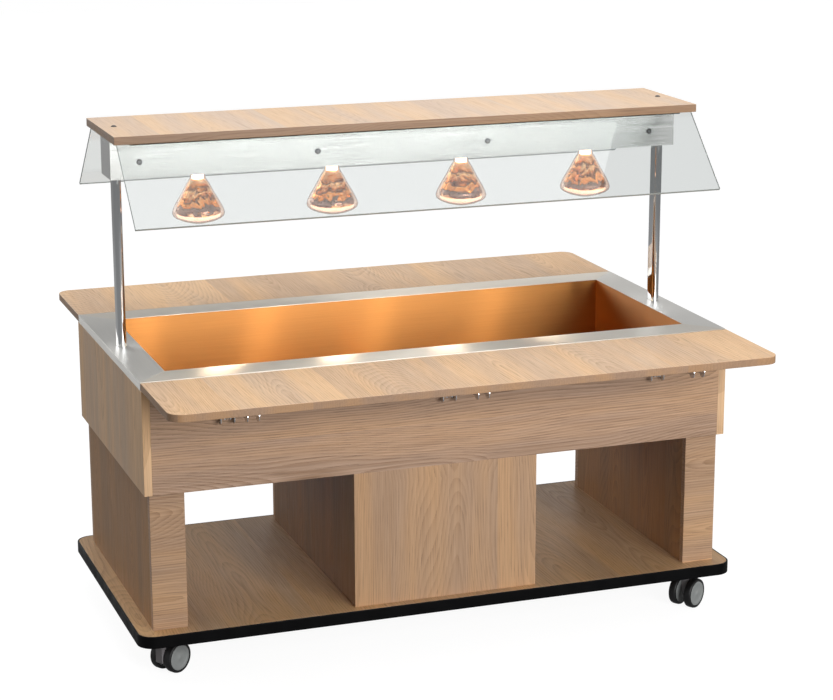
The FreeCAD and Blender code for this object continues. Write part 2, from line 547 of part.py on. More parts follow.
def make_brackets():
    wall = "-body_depth / 2"
    line_y, line_z = f"{wall} - fold_out", "shelf_top - shelf_thick - fold_drop"
    strut_y, strut_z = line_y, f"{line_z} - strut_drop"
    under = "shelf_top - shelf_thick"
    web = span("leg_web", ("-leg_width / 2", f"{wall} - bracket_steel", "web_bottom"),
               ("leg_width / 2", wall, "leg_top"))
    inner = "leg_width / 2 - bracket_steel"
    cheek = span("leg_cheek", (inner, f"{wall} - leg_depth", "leg_bottom + leg_depth / 2"),
                 ("leg_width / 2", wall, "leg_top"))
    heel = rod("leg_heel", "leg_depth / 2", "bracket_steel",
               (inner, f"{wall} - leg_depth / 2", "leg_bottom + leg_depth / 2"), "x")
    side = fuse("leg_side", cheek, heel)
    ear = span("leg_ear", ("ear_half - ear_steel", f"{wall} - ear_depth", f"{strut_z} - 5"),
               ("ear_half", f"{wall} - bracket_steel", f"{strut_z} + 10"))
    upper_pin = rod("leg_upper_pin", "pin_radius", "leg_width + 4", ("-leg_width / 2 - 2", line_y, line_z),
                    "x")
    lower_pin = rod("leg_lower_pin", "pin_radius", "2 * ear_half + 4", ("-ear_half - 2", line_y, strut_z),
                    "x")
    legs = fuse("leg", web, side, mirror("leg_side_mirrored", side, X_AXIS), ear,
                mirror("leg_ear_mirrored", ear, X_AXIS),
                upper_pin, lower_pin)

    tip = f"{line_y} - arm_reach"
    arm_half = "arm_width / 2"
    strip = span("arm_web", (f"-{arm_half}", f"{tip}", f"{under} - bracket_steel"),
                 (arm_half, f"{line_y} + 6", under))
    arm_cheek = span("arm_cheek_bar", (f"{arm_half} - bracket_steel", tip, f"{under} - arm_cheek"),
                     (arm_half, f"{line_y} + 6", under))
    lobe = rod("arm_lobe", "lobe_radius", "bracket_steel",
               (f"{arm_half} - bracket_steel", f"{tip} + 2", f"{under} - lobe_radius - 0.5"), "x")
    arm_side = fuse("arm_side", arm_cheek, lobe)
    pin_bore = rod("arm_bore", "pin_radius + running_fit", "leg_width", ("-leg_width / 2", line_y, line_z),
                   "x")
    arm = cut("arm", fuse("arm_blank", strip, arm_side, mirror("arm_side_mirrored", arm_side, X_AXIS)),
              pin_bore)

    # the strut lies between the cheeks: it turns on the leg's lower pin and its roller bears under the arm
    reach, rise = "strut_reach", "strut_drop"
    length = f"sqrt({reach} ^ 2 + {rise} ^ 2)"
    bar = span("strut_bar", ("-strut_thick / 2", "0", "-strut_half"),
               ("strut_thick / 2", length, "strut_half"))
    root = rod("strut_root", "roller_radius", "strut_thick", ("-strut_thick / 2", "0", "0"), "x")
    roller = rod("strut_roller", "roller_radius", "roller_width", ("-roller_width / 2", length, "0"), "x")
    strut_bore = rod("strut_bore", "pin_radius + running_fit", "strut_thick + 2",
                     ("-strut_thick / 2 - 1", "0", "0"), "x")
    strut = cut("strut", fuse("strut_blank", bar, root, roller), strut_bore)
    slope = math.degrees(math.atan2(SIZES["strut_drop"], SIZES["strut_reach"]))
    leaning = group("strut_leaning", [strut])
    place(leaning, ("0", strut_y, strut_z), FreeCAD.Rotation(X_AXIS, 180 - slope))
    leaning.setExpression("Placement.Rotation.Angle", sheet("180 deg - atan(strut_drop / strut_reach)"))

    keep("bracket_legs", pair("legs", three_times("leg", legs), Y_AXIS))
    for part, piece in (("arm", arm), ("strut", leaning)):
        front = keep(f"front_bracket_{part}s", three_times(part, piece))
        keep(f"rear_bracket_{part}s", mirror(f"rear_{part}s", front, Y_AXIS))


def make_shelves():
    near = "-(counter_depth / 2 + shelf_gap + shelf_depth)"
    far = "-(counter_depth / 2 + shelf_gap)"
    shelf = rounded_plate("shelf", "counter_length / 2", near, far, "shelf_top - shelf_thick",
                          "shelf_thick", "shelf_radius", near_only=True)
    keep("front_shelf", shelf)
    keep("rear_shelf", mirror("shelf_mirrored", shelf, Y_AXIS))


# canopy: posts, housing, board, sneeze guards and lamps
def make_posts():
    low = "apron_bottom + panel"
    height = f"canopy_top - panel - ({low})"
    tube = cut("post_tube", post_section("post_outside", "0", low, height),
               post_section("post_inside", "-post_wall", f"{low} + foot_thick", f"{height} + 1"))
    foot = span("post_foot", ("-post_width / 2", "-foot_depth / 2", low),
                ("post_width / 2", "foot_depth / 2", f"{low} + foot_thick"))
    post = copy_at("post_right", fuse("post", tube, foot), ("post_span / 2", "0", "0"))
    keep("canopy_posts", pair("posts", post, X_AXIS))


def make_housing():
    half, deep = "housing_length / 2", "housing_depth / 2"
    top = "canopy_top - panel"
    low = f"{top} - housing_height"
    outer = span("housing_outer", (f"-{half}", f"-{deep}", low), (half, deep, top))
    inner = span("housing_inner", (f"-{half} + steel", f"-{deep} + steel", f"{low} + steel"),
                 (f"{half} - steel", f"{deep} - steel", f"{top} + 1"))
    slot_shape = post_section("housing_slot_shape", "post_slot", f"{low} - 1", "steel + 2")
    slot = copy_at("housing_slot", slot_shape, ("post_span / 2", "0", "0"))
    lamp_holes = [rod(f"lamp_hole_{index}", "holder_radius + 1", "steel + 2",
                      (f"{step} * lamp_pitch", "0", f"{low} - 1"))
                  for index, step in enumerate(LAMP_OFFSETS)]
    screw_holes = [rod(f"screw_hole_{index}", "screw_shank", "housing_depth + 2",
                       (f"{step} * screw_pitch", f"-{deep} - 1", "screw_height"), "y")
                   for index, step in enumerate(SCREW_OFFSETS)]
    keep("canopy_housing", cut("housing", outer, inner, slot, mirror("housing_slot_mirrored", slot, X_AXIS),
                               *lamp_holes, *screw_holes))


def pane_outline(grow):
    # the sneeze guard's section: outer face from the groove in the board down to the front lip
    top = "canopy_top - panel + glass_groove"
    run = "(glass_bottom_out - glass_top_out)"
    drop = "(canopy_top - panel - glass_bottom)"
    lean = f"sqrt({run} ^ 2 + {drop} ^ 2)"
    thick = f"(glass_thick + {grow})"
    out, down = f"{thick} * {drop} / {lean}", f"{thick} * {run} / {lean}"
    upper_y = f"-(glass_top_out - glass_groove * {run} / {drop}) - {grow} / 2"
    lower_y, lower_z = f"-glass_bottom_out - {grow} / 2", "glass_bottom"
    flat = f"{thick} * {lean} / {drop}"
    return [(upper_y, top), (lower_y, lower_z), (f"{lower_y} + {out}", f"{lower_z} - {down}"),
            (f"{upper_y} + {flat}", top)]


def make_glass():
    glass = prism("pane", "YZ_Plane", pane_outline("0"), "glass_length", midplane=True)
    keep("front_glass", glass)
    keep("rear_glass", mirror("pane_mirrored", glass, Y_AXIS))
    groove = prism("groove", "YZ_Plane", pane_outline("0.4"), "glass_length + 1", midplane=True)
    half, deep = "board_length / 2", "board_depth / 2"
    board = span("canopy_slab", (f"-{half}", f"-{deep}", "canopy_top - panel"), (half, deep, "canopy_top"))
    keep("canopy_board", cut("slab", board, groove, mirror("groove_mirrored", groove, Y_AXIS)))
    under = "canopy_top - panel"
    slope = "(glass_bottom_out - glass_top_out) / (canopy_top - panel - glass_bottom)"
    inner = "-glass_top_out + 9"
    outline = [(inner, under), (f"{inner} - clip_height * {slope}", f"{under} - clip_height"),
               (f"{inner} + clip_depth", under)]
    strip = prism("clip_strip", "YZ_Plane", outline, "glass_length - 60", midplane=True)
    keep("glass_clips", pair("clips", strip, Y_AXIS))


def make_lamps():
    low = "canopy_top - panel - housing_height"
    rim = "lamp_bottom + lens_height"
    shoulder = f"{rim} + rim_height"
    neck_low = f"{low} - 16"
    cup = cone("lamp_cup", "lamp_radius", "lamp_neck + 3", f"{neck_low} - ({shoulder})",
               ("0", "0", shoulder))
    belt = rod("lamp_belt", "lamp_radius", "rim_height", ("0", "0", rim))
    lens = doc.addObject("Part::Sphere", "lamp_lens")
    ball = "(lamp_radius ^ 2 + lens_height ^ 2) / (2 * lens_height)"
    bind(lens, Radius=ball, Angle1="-90", Angle2=f"-acos(lamp_radius / ({ball}))")
    place(lens, ("0", "0", f"lamp_bottom + {ball}"))
    collar = cone("lamp_collar", "lamp_neck + 3", "lamp_neck", "6", ("0", "0", neck_low))
    neck = rod("lamp_throat", "lamp_neck", "24", ("0", "0", f"{neck_low} + 6"))
    cap = rod("lamp_thread", "lamp_cap", "24", ("0", "0", f"{neck_low} + 30"))
    bulb = fuse("bulb", cup, belt, lens, collar, neck, cap)
    shell = rod("holder_shell", "holder_radius", "holder_height", ("0", "0", f"{low} + 2"))
    hollow = rod("holder_hollow", "lamp_neck + 1", "24", ("0", "0", f"{low} + 1"))
    socket = rod("holder_socket", "lamp_cap + 0.3", "24", ("0", "0", f"{low} + 14"))
    holder = cut("holder", shell, hollow, socket)
    bridge_low = f"{low} + 2 + holder_height"
    yoke = span("holder_yoke", ("-12", "-housing_depth / 2 + steel", bridge_low),
                ("12", "housing_depth / 2 - steel", f"{bridge_low} + 2"))
    seat = fuse("holder_with_yoke", holder, yoke)
    for part, piece, node in (("bulb", bulb, "heat_lamps"), ("holder", seat, "lamp_holders")):
        keep(node, group(f"{part}s", [copy_at(f"{part}_{index}", piece, (f"{step} * lamp_pitch", "0", "0"))
                                      for index, step in enumerate(LAMP_OFFSETS)]))


def make_screws():
    face = "-housing_depth / 2"
    head = cone("screw_dome", "screw_head", "screw_head - 2", "screw_proud", ("0", "0", "0"))
    shank = rod("screw_body", "screw_shank - 0.2", "screw_length", ("0", "0", "-screw_length"))
    screw = fuse("screw", head, shank)
    sideways = group("screw_sideways", [screw])
    place(sideways, ("0", face, "screw_height"), FreeCAD.Rotation(X_AXIS, 90))
    row = [copy_at(f"screw_{index}", sideways, (f"{step} * screw_pitch", "0", "0"))
           for index, step in enumerate(SCREW_OFFSETS)]
    cap = cone("cap_dome", "screw_head", "screw_head - 3", "screw_proud",
               ("post_span / 2", "0", "canopy_top"))
    keep("canopy_screws", group("all_screws", [pair("screws", group("screw_row", row), Y_AXIS),
                                               pair("caps", cap, X_AXIS)]))


make_base()
make_casters()
make_pedestals()
make_cupboard()
make_carcass()
make_rails()
make_well()
make_drain()
make_controls()
make_door()
make_brackets()
make_shelves()
make_posts()
make_housing()
make_glass()
make_lamps()
make_screws()
doc.recompute()

for feature in doc.Objects:
    if "Invalid" in feature.State or "Error" in feature.State:
        raise RuntimeError(f"{feature.Label} did not compute")
for node, feature in nodes.items():
    if feature.Shape.isNull() or not feature.Shape.isValid() or not feature.Shape.Solids:
        raise RuntimeError(f"{node} is not a valid solid")
os.makedirs("parts", exist_ok=True)
for node, feature in nodes.items():
    feature.Shape.exportStep(f"parts/{node}.step")
print(len(nodes), "pieces written")
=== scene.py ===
import json
import math
import bmesh
import bpy
from mathutils import Matrix, Vector


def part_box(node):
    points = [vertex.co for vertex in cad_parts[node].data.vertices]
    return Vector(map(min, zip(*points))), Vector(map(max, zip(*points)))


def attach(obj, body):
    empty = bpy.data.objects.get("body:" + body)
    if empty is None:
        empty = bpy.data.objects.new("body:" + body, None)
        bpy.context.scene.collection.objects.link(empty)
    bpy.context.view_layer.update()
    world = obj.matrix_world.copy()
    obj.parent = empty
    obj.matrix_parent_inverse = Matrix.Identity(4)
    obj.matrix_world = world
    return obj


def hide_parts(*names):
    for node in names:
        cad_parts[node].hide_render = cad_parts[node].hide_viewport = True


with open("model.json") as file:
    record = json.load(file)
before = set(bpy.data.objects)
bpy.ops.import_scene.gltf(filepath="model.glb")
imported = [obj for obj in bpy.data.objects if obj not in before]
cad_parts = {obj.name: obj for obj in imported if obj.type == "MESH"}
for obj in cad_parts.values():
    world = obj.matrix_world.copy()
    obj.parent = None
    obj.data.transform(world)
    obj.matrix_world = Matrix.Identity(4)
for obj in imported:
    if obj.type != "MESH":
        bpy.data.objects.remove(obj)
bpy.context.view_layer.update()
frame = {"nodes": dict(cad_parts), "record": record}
record = frame["record"]
bodyOfNode = {node: body for body, members in record["behaviour"]["bodies"].items() for node in members}
jointOf = {joint["name"]: joint for joint in record["behaviour"]["joints"]}
print("frame loaded:", len(frame["nodes"]), "nodes")

vectorKind, colourKind, numberKind = "NodeSocketVector", "NodeSocketColor", "NodeSocketFloat"


def connect(tree, node, inputs):
    # a value that is a socket is linked, any other is set
    for socket, value in inputs.items():
        if isinstance(value, bpy.types.NodeSocket):
            tree.links.new(value, node.inputs[socket])
        else:
            node.inputs[socket].default_value = value


def addNode(tree, kind, inputs=None, **settings):
    node = tree.nodes.new(kind)
    for name, value in settings.items():
        setattr(node, name, value)
    connect(tree, node, inputs or {})
    return node


def maths(tree, operation, first, second=0.0, third=0.0, clamp=False):
    node = addNode(tree, "ShaderNodeMath", {0: first, 1: second, 2: third}, operation=operation)
    node.use_clamp = clamp
    return node.outputs[0]


def centred(tree, value, size):
    # a 0 to 1 value moved to run evenly either side of nought, and scaled
    return maths(tree, "MULTIPLY", maths(tree, "SUBTRACT", value, 0.5), size)


def stretched(tree, vector, factors):
    node = addNode(tree, "ShaderNodeVectorMath", {0: vector, 1: factors}, operation="MULTIPLY")
    return node.outputs[0]


def apart(tree, vector):
    return tuple(addNode(tree, "ShaderNodeSeparateXYZ", {0: vector}).outputs)


def together(tree, first, second, third):
    return addNode(tree, "ShaderNodeCombineXYZ", {0: first, 1: second, 2: third}).outputs[0]


def blended(tree, factor, first, second, kind="MIX"):
    # sockets 0, 6 and 7 are the factor and the two colours
    inputs = {0: factor, 6: first, 7: second}
    return addNode(tree, "ShaderNodeMix", inputs, data_type="RGBA", blend_type=kind).outputs[2]


def ranged(tree, value, low, high, newLow=0.0, newHigh=1.0):
    inputs = {0: value, 1: low, 2: high, 3: newLow, 4: newHigh}
    return addNode(tree, "ShaderNodeMapRange", inputs).outputs[0]


def noise(tree, vector, scale, detail=2.0, roughness=0.5, distortion=0.0):
    return addNode(tree, "ShaderNodeTexNoise",
                   {"Vector": vector, "Scale": scale, "Detail": detail, "Roughness": roughness,
                    "Distortion": distortion}).outputs["Fac"]


def startGroup(name, inputs, outputs=("Color", "Roughness", "Height")):
    # gives the group, the sockets it is handed and the sockets it has to fill
    group = bpy.data.node_groups.new(name, "ShaderNodeTree")
    for label, kind, value in inputs:
        socket = group.interface.new_socket(label, in_out="INPUT", socket_type=kind)
        if value is not None:
            socket.default_value = value
    for label in outputs:
        kind = colourKind if label == "Color" else numberKind
        group.interface.new_socket(label, in_out="OUTPUT", socket_type=kind)
    return group, group.nodes.new("NodeGroupInput").outputs, group.nodes.new("NodeGroupOutput").inputs


def tone(hexColour):
    # a web colour as the linear colour a shader wants
    parts = [int(hexColour[step:step + 2], 16) / 255 for step in (0, 2, 4)]
    return [part / 12.92 if part <= 0.04045 else ((part + 0.055) / 1.055) ** 2.4 for part in parts] + [1.0]


# the figure of the oak laminate: rings are cut by the board at a slope, which draws long arches
oakGrain = {
    "rings": 56.0, "ringWander": 1.1, "archRun": 0.9, "archSlope": 0.09, "sway": 0.16,
    "heartDepth": 0.02, "heartAside": 0.06, "plankRun": 7.0,
    "drift": (1.5, 6, 6), "fibre": (4, 240, 240), "pore": (11, 420, 420), "cloud": (1.3, 12, 12),
    "warm": (1.06, 0.98, 0.86, 1), "cool": (0.97, 0.98, 1.04, 1), "poreTone": (0.13, 0.075, 0.04, 1)}


def makeOakFigure():
    # grain runs along X, planks lie side by side along Y, Z is the board's own thickness
    group, given, result = startGroup("oakFigure", [
        ("Vector", vectorKind, None), ("Pale", colourKind, None), ("Dark", colourKind, None),
        ("Figure", numberKind, 0.5), ("Plank", numberKind, 0.22), ("Shift", numberKind, 0.0),
        ("Pores", numberKind, 0.4)])
    run, width, thickness = apart(group, given["Vector"])
    cell = maths(group, "DIVIDE", maths(group, "ADD", width, given["Shift"]), given["Plank"])
    across = centred(group, maths(group, "FRACT", cell), given["Plank"])
    chance = addNode(group, "ShaderNodeTexWhiteNoise", {"W": maths(group, "FLOOR", cell)},
                     noise_dimensions="1D")
    own = addNode(group, "ShaderNodeSeparateColor", {0: chance.outputs["Color"]}).outputs
    along = maths(group, "ADD", run, maths(group, "MULTIPLY", own[0], oakGrain["plankRun"]))
    place = together(group, along, across, thickness)
    drift = noise(group, stretched(group, place, oakGrain["drift"]), 1.0, 1.2, 0.45)
    sway = centred(group, drift, oakGrain["sway"])
    arch = maths(group, "PINGPONG", along, oakGrain["archRun"])
    slope = maths(group, "MULTIPLY", arch, oakGrain["archSlope"])
    side = maths(group, "ADD", across, centred(group, own[1], oakGrain["heartAside"]))
    depth = maths(group, "ADD", maths(group, "ADD", slope, sway), oakGrain["heartDepth"])
    rings = addNode(group, "ShaderNodeTexWave",
                    {"Vector": together(group, 0.0, side, depth), "Scale": oakGrain["rings"],
                     "Distortion": oakGrain["ringWander"], "Detail": 3.0, "Detail Scale": 11.0,
                     "Detail Roughness": 0.6},
                    wave_type="RINGS", rings_direction="X", wave_profile="SAW")
    fibre = noise(group, stretched(group, place, oakGrain["fibre"]), 1.0, 4.0, 0.6)
    pore = noise(group, stretched(group, place, oakGrain["pore"]), 1.0)
    cloud = noise(group, stretched(group, place, oakGrain["cloud"]), 1.0)
    ringMask = maths(group, "POWER", rings.outputs["Fac"], 2.0)
    dashes = maths(group, "MULTIPLY_ADD", ringMask, 0.9, 0.25)
    poreMask = maths(group, "MULTIPLY", ranged(group, pore, 0.5, 0.66), dashes, clamp=True)
    share = maths(group, "MULTIPLY", ringMask, given["Figure"])
    share = maths(group, "ADD", share, ranged(group, fibre, 0.3, 0.7, -0.2, 0.26))
    share = maths(group, "ADD", share, ranged(group, cloud, 0.3, 0.7, -0.06, 0.3))
    share = maths(group, "ADD", share, ranged(group, own[2], 0.0, 1.0, -0.08, 0.12), clamp=True)
    wood = blended(group, share, given["Pale"], given["Dark"])
    tint = blended(group, ranged(group, cloud, 0.38, 0.62), oakGrain["warm"], oakGrain["cool"])
    wood = blended(group, 1.0, wood, tint, "MULTIPLY")
    porous = maths(group, "MULTIPLY", poreMask, given["Pores"])
    group.links.new(blended(group, porous, wood, oakGrain["poreTone"]), result["Color"])
    group.links.new(ranged(group, pore, 0.3, 0.75, 0.36, 0.56), result["Roughness"])
    height = maths(group, "SUBTRACT", maths(group, "MULTIPLY", fibre, 0.4), poreMask)
    group.links.new(height, result["Height"])
    return group


def makeBrushedLines():
    # polishing lines along X with faint cloudy smears across them
    group, given, result = startGroup("brushedLines", [
        ("Vector", vectorKind, None), ("Metal", colourKind, None), ("Smooth", numberKind, 0.2),
        ("Coarse", numberKind, 0.35)])
    lines = noise(group, stretched(group, given["Vector"], (4, 900, 900)), 1.0, 3.0, 0.7)
    smear = noise(group, given["Vector"], 7.0, 3.0)
    shade = ranged(group, lines, 0.25, 0.75, 0.86, 1.06)
    metal = addNode(group, "ShaderNodeVectorMath", {0: given["Metal"], "Scale": shade}, operation="SCALE")
    group.links.new(metal.outputs[0], result["Color"])
    spread = ranged(group, lines, 0.3, 0.7, given["Smooth"], given["Coarse"])
    group.links.new(maths(group, "ADD", spread, centred(group, smear, 0.08)), result["Roughness"])
    group.links.new(lines, result["Height"])
    return group


def makeHandMarks():
    # faint wiped smears for polished metal and glass
    group, given, result = startGroup("handMarks", [
        ("Vector", vectorKind, None), ("Clean", numberKind, 0.03), ("Smeared", numberKind, 0.12)],
        ("Roughness", "Height"))
    wipe = noise(group, stretched(group, given["Vector"], (2, 5, 7)), 2.2, 5.0, 0.6, 0.6)
    group.links.new(ranged(group, wipe, 0.4, 0.75, given["Clean"], given["Smeared"]), result["Roughness"])
    group.links.new(wipe, result["Height"])
    return group


def makeMouldedSkin():
    # the fine stipple and slight greying of moulded plastic and rubber
    group, given, result = startGroup("mouldedSkin", [
        ("Vector", vectorKind, None), ("Body", colourKind, None), ("Dusty", colourKind, None),
        ("Fine", numberKind, 900.0)])
    stipple = noise(group, given["Vector"], given["Fine"])
    dust = noise(group, given["Vector"], 18.0, 4.0)
    amount = ranged(group, dust, 0.45, 0.8, 0.0, 0.5)
    group.links.new(blended(group, amount, given["Body"], given["Dusty"]), result["Color"])
    group.links.new(ranged(group, dust, 0.3, 0.7, 0.38, 0.6), result["Roughness"])
    group.links.new(stipple, result["Height"])
    return group


oakFigure = makeOakFigure()
brushedLines = makeBrushedLines()
handMarks = makeHandMarks()
mouldedSkin = makeMouldedSkin()
print("surface effects ready")


def newFinish(name, **fixed):
    # a new material, with the numbers and colours that are the same all over it
    material = bpy.data.materials.new(name)
    material.use_nodes = True
    tree = material.node_tree
    shader = tree.nodes["Principled BSDF"]
    for socket, value in fixed.items():
        shader.inputs[socket.replace("_", " ")].default_value = value
    return material, tree, shader


def objectSpace(tree, order="xyz"):
    # the piece's own place, with the axes dealt out in the order asked
    place = addNode(tree, "ShaderNodeTexCoord").outputs["Object"]
    if order == "xyz":
        return place
    axes = dict(zip("xyz", apart(tree, place)))
    return together(tree, *(axes[letter] for letter in order))


def bumped(tree, shader, strength, distance, height):
    bump = addNode(tree, "ShaderNodeBump", {"Strength": strength, "Distance": distance, "Height": height})
    tree.links.new(bump.outputs[0], shader.inputs["Normal"])


def dressWith(tree, shader, effect, strength, distance, inputs):
    # lays a shared effect on a material; strength and distance are those of its bump
    node = addNode(tree, "ShaderNodeGroup", inputs, node_tree=effect)
    if "Color" in node.outputs:
        tree.links.new(node.outputs["Color"], shader.inputs["Base Color"])
    tree.links.new(node.outputs["Roughness"], shader.inputs["Roughness"])
    bumped(tree, shader, strength, distance, node.outputs["Height"])


def makeOak(name, order, figure, plank, shift, pale, dark, pores=0.4):
    material, tree, shader = newFinish(name)
    dressWith(tree, shader, oakFigure, 0.25, 0.0006, {
        "Vector": objectSpace(tree, order), "Pale": tone(pale), "Dark": tone(dark), "Figure": figure,
        "Plank": plank, "Shift": shift, "Pores": pores})
    return material


def makeSteel(name, order, metal, smooth, coarse, bump, across=0.0):
    # a quarter turn of the tangent draws highlights out across the polishing lines
    material, tree, shader = newFinish(name, Metallic=1.0, Anisotropic=across, Anisotropic_Rotation=0.25)
    dressWith(tree, shader, brushedLines, bump, 0.0003, {
        "Vector": objectSpace(tree, order), "Metal": tone(metal), "Smooth": smooth, "Coarse": coarse})
    return material


def makePolished(name, colour, clean=0.03, smeared=0.12):
    material, tree, shader = newFinish(name, Metallic=1.0, Base_Color=tone(colour))
    dressWith(tree, shader, handMarks, 0.03, 0.0005, {
        "Vector": objectSpace(tree), "Clean": clean, "Smeared": smeared})
    return material


def makeMoulded(name, body, dusty, fine=900.0, bump=0.15, shine=0.4):
    material, tree, shader = newFinish(name, Specular_IOR_Level=shine)
    dressWith(tree, shader, mouldedSkin, bump, 0.0004, {
        "Vector": objectSpace(tree), "Body": tone(body), "Dusty": tone(dusty), "Fine": fine})
    return material


def makeClear(name, colour, bend, smeared=0.01):
    material, tree, shader = newFinish(name, Base_Color=tone(colour), Transmission_Weight=1.0, IOR=bend,
                                       Metallic=0.0)
    dressWith(tree, shader, handMarks, 0.002, 0.0001, {
        "Vector": objectSpace(tree), "Clean": 0.0, "Smeared": smeared})
    return material


def makeLampGlass(middle="FFF0E6", rimReflection="8C5240"):
    # bulb glass that is clear face on and turns rosy towards its outline, where the rosy tone is a painted
    # reflection
    material = makeClear("lampGlass", middle, 1.14, 0.02)
    tree = material.node_tree
    facing = addNode(tree, "ShaderNodeLayerWeight", {"Blend": 0.35}).outputs["Facing"]
    colour = blended(tree, maths(tree, "POWER", facing, 2.5), tone(middle), tone(rimReflection))
    tree.links.new(colour, tree.nodes["Principled BSDF"].inputs["Base Color"])
    return material


def makeGlow(name, colour, strength, hotColour):
    # a lit surface, mottled so that it isn't one flat white
    material, tree, shader = newFinish(name, Emission_Strength=strength, Roughness=0.3)
    glow = blended(tree, noise(tree, objectSpace(tree), 60.0), tone(colour), tone(hotColour))
    tree.links.new(glow, shader.inputs["Emission Color"])
    tree.links.new(glow, shader.inputs["Base Color"])
    return material


# oak: order of axes, strength of figure, plank width, shift of the planks, pale and dark tones, pores
oakAcross = makeOak("oakAcrossCounter", "yxz", 0.36, 0.26, 0.07, "E0C19E", "B48E68", 0.34)
oakCanopy = makeOak("oakCanopyTop", "yxz", 0.16, 0.3, 0.02, "DAC1A8", "C6A98C", 0.2)
oakApron = makeOak("oakApron", "xzy", 0.46, 0.25, 0.19, "D6B498", "9C7858", 0.5)
# pedestal side panels: the same oak, made darker and warmer as painted shade on these sides
oakPedestalSidesPaintedShade = makeOak("oakPedestalSidesPaintedShade", "zyx", 0.34, 0.2, 0.03, "B48653", "875E34", 0.3)
oakUprightFront = makeOak("oakUprightFront", "zxy", 0.24, 0.27, 0.14, "CDAA89", "A07A56", 0.36)
# the cabinet panels' sides: the same oak, made darker and warmer as painted shade of the bay
oakCabinetSidePaintedShade = makeOak("oakCabinetSidePaintedShade", "zyx", 0.3, 0.2, 0.06, "93662B", "694613", 0.3)
oakBase = makeOak("oakBase", "yxz", 0.4, 0.26, 0.07, "CBAA80", "9C7852", 0.3)
oakPedestal = makeOak("oakPedestal", "xzy", 0.4, 0.18, 0.05, "D0AD8D", "9E7854")
oakEdgeBand = makeOak("oakEdgeBand", "yxz", 0.2, 0.3, 0.11, "B49273", "96755A", 0.2)
oakCanopyEdge = makeOak("oakCanopyEdge", "xzy", 0.3, 0.3, 0.11, "A58466", "7E5F45", 0.3)
oakEndPanel = makeOak("oakEndPanel", "zyx", 0.34, 0.36, 0.1, "F4D0A8", "C6A07A", 0.3)
# brushed metal: order of axes, tone, least and most roughness, bump, pull across the lines
steelLongRail = makeSteel("steelLongRail", "xyz", "D2CCC2", 0.34, 0.44, 0.05, 0.9)
steelEndRail = makeSteel("steelEndRail", "yxz", "CFCDC8", 0.3, 0.4, 0.05, 0.9)
steelHousing = makeSteel("steelHousing", "xyz", "F0F0EE", 0.16, 0.3, 0.06)
# the well is brushed steel; its copper tone is painted warm light and reflection of the heat lamps
wellMetal = makeSteel("wellSteelPaintedLampLight", "xzy", "AC7843", 0.3, 0.4, 0.06, 1.0)
# polished metal: tone, roughness where clean and where smeared
chrome = makePolished("chromePlate", "D0D2D4")
zincPlate = makePolished("zincPlate", "A9ACB0", 0.22, 0.4)
brassCast = makePolished("brassCast", "C39A4E", 0.2, 0.35)
screwSteel = makePolished("screwSteel", "5C5F63", 0.2, 0.4)
# plastic, rubber and the like: tone, dusty tone, fineness of the stipple, bump, shine
leverRed = makeMoulded("leverRed", "9A1A14", "8A3A30")
tyreRubber = makeMoulded("tyreRubber", "121213", "2A2A2B", 700.0, 0.2)
bumperBlack = makeMoulded("bumperBlack", "060607", "0B0B0C", 500.0, 0.05, 0.08)
hoodGrey = makeMoulded("hoodGrey", "8A8688", "989496", 1100.0, 0.12)
hubGrey = makeMoulded("hubGrey", "989B9A", "A5A8A7", 1100.0, 0.12)
knobBlack = makeMoulded("knobBlack", "161617", "2A2A2B", 1200.0)
woolLagging = makeMoulded("woolLagging", "B9A874", "9F9060", 160.0, 0.8)
ceramicWhite = makeMoulded("ceramicWhite", "E6E2D8", "D2CDC2", 500.0, 0.05)
pilotRed = makeMoulded("pilotRed", "B5281A", "8C2014", 1200.0, 0.05)
# glass and light
guardGlass = makeClear("guardGlass", "D9DCDB", 1.35)
guardEdge = makeMoulded("guardGlassEdge", "A3AAA8", "969E9B", 900.0, 0.05)
lampGlass = makeLampGlass()
lampGlow = makeGlow("lampGlow", "FFD9BC", 5.0, "FFF3E6")
lensGlow = makeGlow("lensGlow", "FFCDAA", 1.4, "FFF4EA")
print("finishes ready")

finishOfNode = {
    "base_board": oakBase, "canopy_board": oakCanopy, "front_shelf": oakAcross, "rear_shelf": oakAcross,
    "carcass_floor": oakAcross, "front_apron": oakApron, "rear_apron": oakApron, "end_panels": oakEndPanel,
    "pedestal_side_panels": oakPedestalSidesPaintedShade, "pedestal_end_panels": oakPedestal,
    "cabinet_panels": oakUprightFront, "cabinet_door": oakUprightFront,
    "counter_end_rails": steelEndRail, "counter_long_rails": steelLongRail, "control_panel": steelLongRail,
    "canopy_housing": steelHousing, "well_tank": wellMetal,
    "canopy_posts": chrome, "canopy_screws": chrome, "door_knob": chrome, "door_hinge_door_leaves": chrome,
    "door_hinge_fixed_leaves": chrome, "bracket_legs": chrome, "front_bracket_arms": chrome,
    "rear_bracket_arms": chrome, "front_bracket_struts": chrome, "rear_bracket_struts": chrome,
    "caster_plates": zincPlate, "well_casing": zincPlate, "heating_plates": zincPlate,
    "drain_pipe": brassCast, "drain_valve": brassCast, "drain_lever": leverRed,
    "front_glass": guardGlass, "rear_glass": guardGlass, "glass_clips": guardGlass,
    "heat_lamps": lampGlass, "lamp_holders": ceramicWhite, "well_insulation": woolLagging,
    "base_bumper": bumperBlack, "heater_switch": knobBlack, "lamp_switch": knobBlack,
    "switch_bezels": knobBlack, "thermostat_knob": knobBlack, "power_inlet": knobBlack,
    "pilot_lamps": pilotRed}
finishOfCaster = {"tyres": tyreRubber, "hubs": hubGrey, "pedal": knobBlack}  # what is left is its hood
for node, shape in frame["nodes"].items():
    finish = finishOfNode.get(node) or finishOfCaster.get(node.split("_")[-1], hoodGrey)
    shape.data.materials.clear()
    shape.data.materials.append(finish)


def camelName(words):
    return words[0] + "".join(word.capitalize() for word in words[1:])


